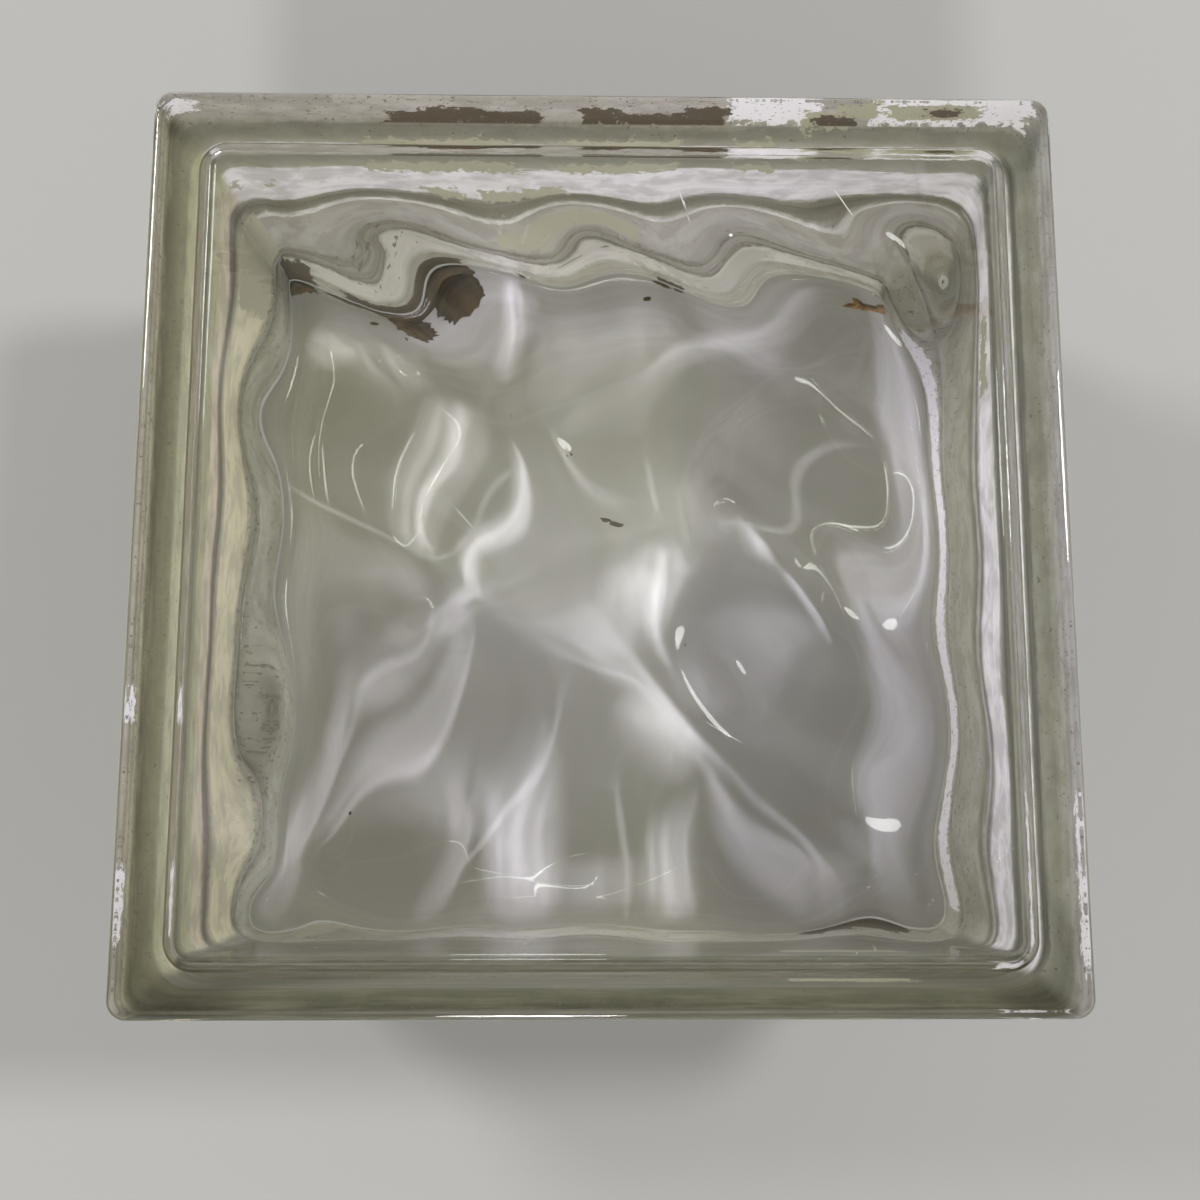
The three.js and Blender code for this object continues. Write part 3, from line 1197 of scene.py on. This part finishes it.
@dataclass(frozen=True)
class ClearGlass:
    """Pressed soda-lime glass with an olive tint that shows along its edges."""

    ior: float = 1.52
    clear: Colour = (0.74, 0.755, 0.56)
    density: float = 5.0
    passing: Colour = (0.965, 0.96, 0.965)  # how much straight light one surface lets through
    below: Colour = (3.15, 3.07, 3.6)  # the same for the lower face, raised to stand for gathered light
    gathered: Colour = (2.6, 2.5, 4.1)  # what a gleam adds to it

    def material(self, gathers: bool = False) -> bpy.types.Material:
        """Return the glass as a material.

        Shadow and diffuse rays go straight on, thinned by each surface and raised by the lower face.

        Args:
            gathers: True where the surface brightens that light along its gleams.

        Returns:
            The material.
        """
        material, sheet, shader = new_finish("lower_face_glass" if gathers else "clear_pressed_glass")
        shader.inputs["Roughness"].default_value = 0.0
        shader.inputs["IOR"].default_value = self.ior
        shader.inputs["Transmission Weight"].default_value = 1.0
        cloud = sheet.noise(sheet.place(), 0.02, 1.0)
        sheet.feed(shader.inputs["Base Color"], sheet.blend(cloud, (1.0, 1.0, 1.0), (0.97, 0.975, 0.96)))
        straight = sheet.node("BsdfTransparent")
        sheet.feed(straight.inputs["Color"], self.passing)
        if gathers:
            glow = sheet.node("VectorMath", operation="MULTIPLY_ADD")
            sheet.feed(glow.inputs[0], sheet.node("Attribute", attribute_name="gleam").outputs["Vector"])
            sheet.feed(glow.inputs[1], self.gathered)
            sheet.feed(glow.inputs[2], self.below)
            sheet.feed(straight.inputs["Color"], glow.outputs[0])
        rays = sheet.node("LightPath").outputs
        mix = sheet.node("MixShader")
        sheet.feed(mix.inputs[0], sheet.math("MAXIMUM", rays["Is Shadow Ray"], rays["Is Diffuse Ray"]))
        sheet.tree.links.new(shader.outputs[0], mix.inputs[1])
        sheet.tree.links.new(straight.outputs[0], mix.inputs[2])
        soak = sheet.node("VolumeAbsorption")
        sheet.feed(soak.inputs["Color"], self.clear)
        sheet.feed(soak.inputs["Density"], self.density)
        output = material.node_tree.nodes["Material Output"]
        sheet.tree.links.new(mix.outputs[0], output.inputs["Surface"])
        sheet.feed(output.inputs["Volume"], soak.outputs["Volume"])
        return material


# ------------------------------------------------------------------ pieces


@dataclass(frozen=True)
class GlassBody:
    """The two half shells fused into one hollow glass body."""

    sizes: BlockSizes
    net: float = 1.1  # spacing of the net over the lower face, in millimetres
    offset: float = 0.01  # how far the net's lines lie off the middle, clear of the mesh's own points
    curl: float = 1.5  # how far the gleams wander, in millimetres
    curl_grain: float = 0.05  # how often they turn, in waves per millimetre
    curl_seed: int = 1  # fixes the wander, which would otherwise change from run to run
    level: float = 0.01  # height up to which a point lies on the lower flat face

    def build(self, finish: bpy.types.Material, below: bpy.types.Material) -> bpy.types.Object:
        """Join the outside and the cavity in one mesh.

        Args:
            finish: The glass of the block.
            below: The glass of its lower flat face.

        Returns:
            The glass body.
        """
        profile = EdgeProfile(self.sizes)
        stations = profile.bead() + profile.channel() + profile.shoulder() + profile.face_edge()
        outside = self._closed(OuterSkin(self.sizes, stations, closed=True).mesh)
        cavity = self._closed(InnerSkin(self.sizes).mesh)
        bmesh.ops.reverse_faces(cavity, faces=cavity.faces)
        join = bpy.data.meshes.new("cavity")
        cavity.to_mesh(join)
        cavity.free()
        outside.from_mesh(join)
        bpy.data.meshes.remove(join)
        bmesh.ops.translate(outside, verts=outside.verts, vec=(0, 0, self.sizes.half_thickness))
        self._gather(outside)
        piece = make_piece("glass_body", outside, finish)
        piece.data.materials.append(below)
        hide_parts("upper_half_shell", "lower_half_shell")
        return piece

    def _gather(self, mesh: bmesh.types.BMesh) -> None:
        """Lay a fine net over the lower flat face, and mark on it how much light the gleams add.

        Args:
            mesh: The glass body.
        """
        gleam = mesh.verts.layers.float.new("gleam")
        low = [face for face in mesh.faces if self._on_floor(face)]
        parts = low + list({edge for face in low for edge in face.edges})
        steps = int(self.sizes.half_side / self.net)
        for way in (Vector((1, 0, 0)), Vector((0, 1, 0))):
            for step in range(-steps, steps + 1):
                place = way * (step * self.net + self.offset)
                cut = bmesh.ops.bisect_plane(mesh, geom=parts, dist=CUT_MARGIN, plane_co=place, plane_no=way)
                parts = [item for item in cut["geom"] if not isinstance(item, bmesh.types.BMVert)]
        for face in mesh.faces:
            face.material_index = int(self._on_floor(face))
        noise.seed_set(self.curl_seed)
        for point in mesh.verts:
            if point.co.z < self.level:
                wander = noise.noise_vector(point.co * self.curl_grain) * self.curl
                x, y = point.co.x + wander.x, point.co.y + wander.y
                point[gleam] = sum(stroke.light(x, y) for stroke in GLEAMS)

    def _on_floor(self, face: bmesh.types.BMFace) -> bool:
        """Return whether a face belongs to the lower flat face."""
        return max(point.co.z for point in face.verts) < self.level

    @staticmethod
    def _closed(half: bmesh.types.BMesh) -> bmesh.types.BMesh:
        """Fuse a half with its turned copy at the seam and return it with its faces outward.

        Args:
            half: The mesh of one half, which becomes the whole.

        Returns:
            The same mesh.
        """
        turned_copy(half)
        bmesh.ops.remove_doubles(half, verts=half.verts, dist=0.001)
        bmesh.ops.recalc_face_normals(half, faces=half.faces)
        return half


@dataclass(frozen=True)
class EdgeCoating:
    """The thin coating round the block's edge, in optical contact with the glass."""

    sizes: BlockSizes
    sink: float = 0.05  # how deep its inner face lies in the glass
    thickness: float = 0.14
    wrap: int = 5  # how many stations of the rounding into the flat face it covers
    net: float = 2.5  # spacing of the cuts that carry the worn patches

    def build(self, finish: bpy.types.Material) -> bpy.types.Object:
        """Build and dress the coating of both halves.

        Args:
            finish: Its material.

        Returns:
            The coating.
        """
        profile = EdgeProfile(self.sizes)
        stations = profile.bead() + profile.channel() + profile.shoulder()
        stations += profile.face_edge()[: self.wrap]
        skin = OuterSkin(self.sizes, [station.sunk(self.sink) for station in stations], closed=False)
        shell = skin.mesh
        bmesh.ops.recalc_face_normals(shell, faces=shell.faces)
        bmesh.ops.solidify(shell, geom=shell.faces[:], thickness=self.thickness)
        turned_copy(shell)
        bmesh.ops.recalc_face_normals(shell, faces=shell.faces)
        bmesh.ops.translate(shell, verts=shell.verts, vec=(0, 0, self.sizes.half_thickness))
        self._mark_wear(shell)
        return make_piece("edge_coating", shell, finish)

    def _mark_wear(self, shell: bmesh.types.BMesh) -> None:
        """Cut the coating finely enough and mark how deep each point lies inside the worn patches.

        Args:
            shell: The mesh of the coating.
        """
        half = self.sizes.half_side
        spans = (((1, 0, 0), -half, half), ((0, 1, 0), -half, half), ((0, 0, 1), 0.0, self.sizes.thickness))
        for way, low, high in spans:
            for step in range(1, int((high - low) / self.net)):
                parts = shell.verts[:] + shell.edges[:] + shell.faces[:]
                place = Vector(way) * (low + step * self.net)
                bmesh.ops.bisect_plane(shell, geom=parts, dist=CUT_MARGIN, plane_co=place, plane_no=way)
        for wear in Wear:
            layer = shell.verts.layers.float.new(wear.value)
            patches = [patch for patch in PATCHES if patch.wear is wear]
            for point in shell.verts:
                point[layer] = max(OUTSIDE, max(patch.depth(point.co) for patch in patches))


# ------------------------------------------------------------------ stains, grit and scratches


@dataclass(frozen=True)
class Smear:
    """A ragged flat blot, an oval in millimetres."""

    x: float
    y: float
    heading: float  # degrees from +X
    reach: float  # half of its length
    width: float  # half of its width


MORTAR_SMEARS = (
    Smear(-88, 89, 20, 9, 5.0),
    Smear(-82, 91, -10, 6, 3.5),
    Smear(-48.5, 88.5, -65, 9.5, 4.8),
    Smear(-45, 83.8, -52, 6.0, 3.4),
    Smear(-53, 92, -10, 8, 2.6),
    Smear(-62, 92.5, 3, 10, 1.6),
    Smear(-60, 82, 30, 1.6, 0.8),
    Smear(-49, 78, 100, 1.0, 0.5),
    Smear(7, 82, 15, 1.8, 0.8),
    Smear(16, 92, -5, 5, 1.4),
    Smear(25, 92.5, 10, 2.5, 1.2),
)
RUST_SMEARS = (
    Smear(77, 80.0, 8, 11, 1.6),
    Smear(89, 82.5, 20, 6, 2.4),
    Smear(73.5, 80.5, -35, 3.0, 2.0),
)


@dataclass(frozen=True)
class ThinStain:
    """A thin uneven stain on the glass."""

    name: str
    dark: Colour
    pale: Colour
    grain: float = 0.3

    def material(self, effects: Effects) -> bpy.types.Material:
        """Return the stain as a material, blotched with the shared specks.

        Args:
            effects: The shared effects.

        Returns:
            The material.
        """
        material, sheet, shader = new_finish(self.name)
        blot = sheet.ease(sheet.use(effects.specks, self.grain), 0.3, 0.75)
        sheet.feed(shader.inputs["Base Color"], sheet.blend(blot, self.dark, self.pale))
        shader.inputs["Roughness"].default_value = 0.85
        return material


@dataclass(frozen=True)
class LowerFaceSmears:
    """Mortar and rust that cling to the lower flat face near its edges."""

    sizes: BlockSizes
    thickness: float = 0.04
    lift: float = 0.02
    stagger: float = 0.003  # how much higher each smear lies than the one before
    ragged: float = 0.26  # how far the outline wanders, as a share of its size
    ragged_grain: float = 3.0
    points: int = 72

    def build(self, name: str, smears: tuple[Smear, ...], finish: bpy.types.Material) -> bpy.types.Object:
        """Build and dress the smears of one kind.

        Args:
            name: Name of the piece.
            smears: Where they are.
            finish: Their material.

        Returns:
            The piece.
        """
        mesh = bmesh.new()
        for number, smear in enumerate(smears):
            blot = bmesh.ops.create_circle(mesh, cap_ends=True, radius=1.0, segments=self.points)["verts"]
            for point in blot:
                rough = noise.fractal(point.co * self.ragged_grain + Vector((smear.x, smear.y, 0)), 0.6, 2.0, 5)
                point.co *= 1 + self.ragged * rough
            turn = Matrix.Rotation(math.radians(smear.heading), 4, "Z")
            size = Matrix.Diagonal((smear.reach, smear.width, 1, 1))
            move = Matrix.Translation((smear.x, smear.y, self.lift + number * self.stagger))
            bmesh.ops.transform(mesh, matrix=move @ turn @ size, verts=blot)
        rim = self.sizes.half_side - self.sizes.face_edge
        for way in ((1, 0, 0), (-1, 0, 0), (0, 1, 0), (0, -1, 0)):
            parts = mesh.verts[:] + mesh.edges[:] + mesh.faces[:]
            bmesh.ops.bisect_plane(mesh, geom=parts, plane_co=Vector(way) * rim, plane_no=way, clear_outer=True)
        thicken(mesh, self.thickness)
        return make_piece(name, mesh, finish)


@dataclass(frozen=True)
class Crumb:
    """A crumb of grit by its place and size in millimetres."""

    x: float
    y: float
    radius: float


CRUMBS = (
    Crumb(-1.0, 37.5, 0.55),
    Crumb(-0.4, 36.2, 0.4),
    Crumb(-1.6, 35.4, 0.3),
    Crumb(-2.0, 17.6, 0.5),
    Crumb(-1.1, 16.9, 0.65),
    Crumb(-24.0, 47.0, 0.3),
    Crumb(31.0, -12.0, 0.25),
    Crumb(-57.0, -58.0, 0.35),
    Crumb(52.0, 8.0, 0.25),
)


@dataclass(frozen=True)
class TrappedGrit:
    """A few crumbs that lie on the lower waved face inside the block."""

    sizes: BlockSizes
    flatness: float = 0.6  # height of a crumb as a share of its width
    roughness: float = 0.9  # how uneven a crumb is, as a share of its size
    sink: float = 0.02

    def build(self, finish: bpy.types.Material) -> bpy.types.Object:
        """Build and dress the crumbs.

        Args:
            finish: Their material.

        Returns:
            The crumbs, as one piece.
        """
        mesh = bmesh.new()
        for crumb in CRUMBS:
            floor = self.sizes.half_thickness - self.sizes.waved_height(crumb.x, -crumb.y)
            points = bmesh.ops.create_icosphere(mesh, subdivisions=2, radius=crumb.radius)["verts"]
            for point in points:
                uneven = noise.noise(point.co * 2.5 + Vector((crumb.x, crumb.y, 0)))
                point.co *= 1 + self.roughness * uneven
                point.co.z *= self.flatness
            foot = min(point.co.z for point in points) + self.sink
            bmesh.ops.translate(mesh, verts=points, vec=(crumb.x, crumb.y, floor - foot))
        return make_piece("trapped_grit", mesh, finish)


@dataclass(frozen=True)
class Scratch:
    """A scratch on the upper face by its two ends and half its width, in millimetres."""

    start: tuple[float, float]
    end: tuple[float, float]
    width: float


SCRATCHES = (
    Scratch((15.6, 73.4), (17.9, 66.0), 0.11),
    Scratch((16.6, 71.0), (17.3, 67.5), 0.16),
    Scratch((48.3, 73.6), (52.1, 67.8), 0.10),
    Scratch((26.1, 63.6), (26.7, 63.1), 0.35),
    Scratch((-30.0, 5.0), (-26.5, 1.0), 0.06),
    Scratch((20.0, -38.0), (27.0, -42.0), 0.06),
)


@dataclass(frozen=True)
class FaceScratches:
    """Thin pale scratches and a nick on the upper flat face."""

    sizes: BlockSizes
    height: float = 0.02
    lift: float = 0.005
    waver: float = 0.5  # how uneven a scratch's sides are, as a share of its width

    def build(self, finish: bpy.types.Material) -> bpy.types.Object:
        """Build and dress the scratches.

        Args:
            finish: Their material.

        Returns:
            The scratches, as one piece.
        """
        mesh = bmesh.new()
        for scratch in SCRATCHES:
            start, end = Vector(scratch.start), Vector(scratch.end)
            middle, run = (start + end) / 2, end - start
            points = bmesh.ops.create_circle(mesh, cap_ends=True, radius=1.0, segments=24)["verts"]
            for point in points:
                point.co.y += self.waver * noise.noise(Vector((point.co.x * 3, middle.x, middle.y)))
            move = Matrix.Translation((middle.x, middle.y, self.sizes.thickness + self.lift))
            turn = Matrix.Rotation(math.atan2(run.y, run.x), 4, "Z")
            size = Matrix.Diagonal((run.length / 2, scratch.width, 1, 1))
            bmesh.ops.transform(mesh, matrix=move @ turn @ size, verts=points)
        thicken(mesh, self.height)
        return make_piece("face_scratches", mesh, finish)


# ------------------------------------------------------------------ studio


@dataclass(frozen=True)
class StudioCamera:
    """A camera that looks steeply down on the block."""

    place: tuple[float, float, float] = (-3.77, -48.21, 298.9)  # millimetres
    tilt: tuple[float, float, float] = (7.195, -0.771, 0.151)  # degrees about X, Y and Z
    lens: float = 33.3
    sensor: float = 36.0
    rise: float = 0.0283  # how far the frame is shifted up, as a share of its width

    def build(self) -> bpy.types.Object:
        """Place the camera and make it the scene's.

        Returns:
            The camera.
        """
        data = bpy.data.cameras.new("studio_camera")
        data.lens = self.lens
        data.sensor_width = self.sensor
        data.shift_y = self.rise
        data.clip_start = 0.01
        camera = bpy.data.objects.new("studio_camera", data)
        bpy.context.scene.collection.objects.link(camera)
        x, y, z = (math.radians(angle) for angle in self.tilt)
        turn = Matrix.Rotation(x, 4, "X") @ Matrix.Rotation(y, 4, "Y") @ Matrix.Rotation(z, 4, "Z")
        camera.matrix_world = Matrix.Translation(Vector(self.place) * MM) @ turn
        bpy.context.scene.camera = camera
        return camera


@dataclass(frozen=True)
class Lamp:
    """A round soft lamp that faces the block, in metres and watts."""

    name: str
    place: tuple[float, float, float]
    size: float
    power: float

    def build(self) -> bpy.types.Object:
        """Hang the lamp.

        Returns:
            The lamp.
        """
        data = bpy.data.lights.new(self.name, "AREA")
        data.shape = "DISK"
        data.size = self.size
        data.energy = self.power
        lamp = bpy.data.objects.new(self.name, data)
        aim = Vector((0, 0, 0.04)) - Vector(self.place)
        lamp.matrix_world = Matrix.Translation(self.place) @ aim.to_track_quat("-Z", "Y").to_matrix().to_4x4()
        bpy.context.scene.collection.objects.link(lamp)
        return lamp


LAMPS = (
    Lamp("left_lamp", (-1.5, 0.9, 1.3), 0.5, 20.0),
    Lamp("right_lamp", (1.3, 0.5, 1.5), 0.35, 20.0),
    Lamp("front_lamp", (-0.1, -1.6, 1.3), 0.35, 20.0),
)


@dataclass(frozen=True)
class Studio:
    """Pale floor, soft room light and lamps."""

    floor_colour: Colour = (0.40, 0.395, 0.38)
    room_tint: Colour = (1.0, 1.0, 1.0)
    side_light: float = 0.62
    overhead_light: float = 0.04
    side_band: float = 0.66  # sine of the elevation up to which the room is brightest
    dark_above: float = 0.92  # sine of the elevation above which the room is darkest

    def floor(self) -> bpy.types.Object:
        """Lay the floor just under the block.

        Returns:
            The floor.
        """
        grid = bmesh.new()
        bmesh.ops.create_grid(grid, x_segments=1, y_segments=1, size=3.0)
        mesh = bpy.data.meshes.new("floor")
        grid.to_mesh(mesh)
        grid.free()
        floor = bpy.data.objects.new("floor", mesh)
        floor.location.z = -0.2 * MM
        material, sheet, shader = new_finish("pale_floor")
        sheet.feed(shader.inputs["Base Color"], self.floor_colour)
        shader.inputs["Roughness"].default_value = 0.9
        shader.inputs["Specular IOR Level"].default_value = 0.2
        mesh.materials.append(material)
        bpy.context.scene.collection.objects.link(floor)
        return floor

    def room(self) -> None:
        """Fill the room with soft light that comes from the sides more than from overhead."""
        world = bpy.data.worlds.new("room")
        bpy.context.scene.world = world
        world.use_nodes = True
        sheet = Sheet(world.node_tree)
        split = sheet.node("SeparateXYZ")
        sheet.feed(split.inputs[0], sheet.node("TexCoord").outputs["Generated"])
        height = sheet.math("ABSOLUTE", split.outputs[2])
        overhead = sheet.ease(height, self.side_band, self.dark_above)
        strength = sheet.math("MULTIPLY_ADD", overhead, self.overhead_light - self.side_light, self.side_light)
        world.cycles.sampling_method = "NONE"
        background = world.node_tree.nodes["Background"]
        sheet.feed(background.inputs["Color"], self.room_tint)
        sheet.feed(background.inputs["Strength"], strength)

    @staticmethod
    def light_paths() -> None:
        """Let light pass through both plates and the chipped coating, no deeper than a render needs."""
        bpy.context.scene.view_settings.view_transform = "Standard"
        cycles = bpy.context.scene.cycles
        cycles.use_light_tree = False
        cycles.max_bounces = 7
        cycles.transmission_bounces = 7
        cycles.transparent_max_bounces = 12
        cycles.glossy_bounces = 3
        cycles.diffuse_bounces = 2
        cycles.light_sampling_threshold = 0.04


def main() -> None:
    """Build the block and its studio."""
    logging.basicConfig(level=logging.INFO, format="%(name)s: %(message)s")
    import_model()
    StudioCamera().build()
    sizes = BlockSizes()
    effects = Effects()
    mortar = ThinStain("old_mortar", (0.075, 0.045, 0.012), (0.15, 0.095, 0.032)).material(effects)
    rust = ThinStain("rust_stain", (0.22, 0.11, 0.03), (0.40, 0.24, 0.09)).material(effects)
    smears = LowerFaceSmears(sizes)
    smears.build("mortar_smears", MORTAR_SMEARS, mortar)
    smears.build("rust_smears", RUST_SMEARS, rust)
    LOG.info("smears on the lower face, %d", len(MORTAR_SMEARS) + len(RUST_SMEARS))
    grit = ThinStain("trapped_dust", (0.05, 0.045, 0.035), (0.16, 0.13, 0.10)).material(effects)
    TrappedGrit(sizes).build(grit)
    LOG.info("crumbs trapped inside, %d", len(CRUMBS))
    scuffed = ThinStain("scuffed_glass", (0.72, 0.72, 0.68), (0.92, 0.92, 0.90)).material(effects)
    FaceScratches(sizes).build(scuffed)
    LOG.info("scratches on the upper face, %d", len(SCRATCHES))
    glass = ClearGlass()
    body = GlassBody(sizes).build(glass.material(), glass.material(gathers=True))
    LOG.info("glass body, %d faces", len(body.data.polygons))
    coating = EdgeCoating(sizes).build(WornCoating().material(sizes, effects))
    LOG.info("edge coating, %d faces", len(coating.data.polygons))
    studio = Studio()
    studio.floor()
    studio.room()
    studio.light_paths()
    for lamp in LAMPS:
        lamp.build()


if __name__ == "__main__":
    main()
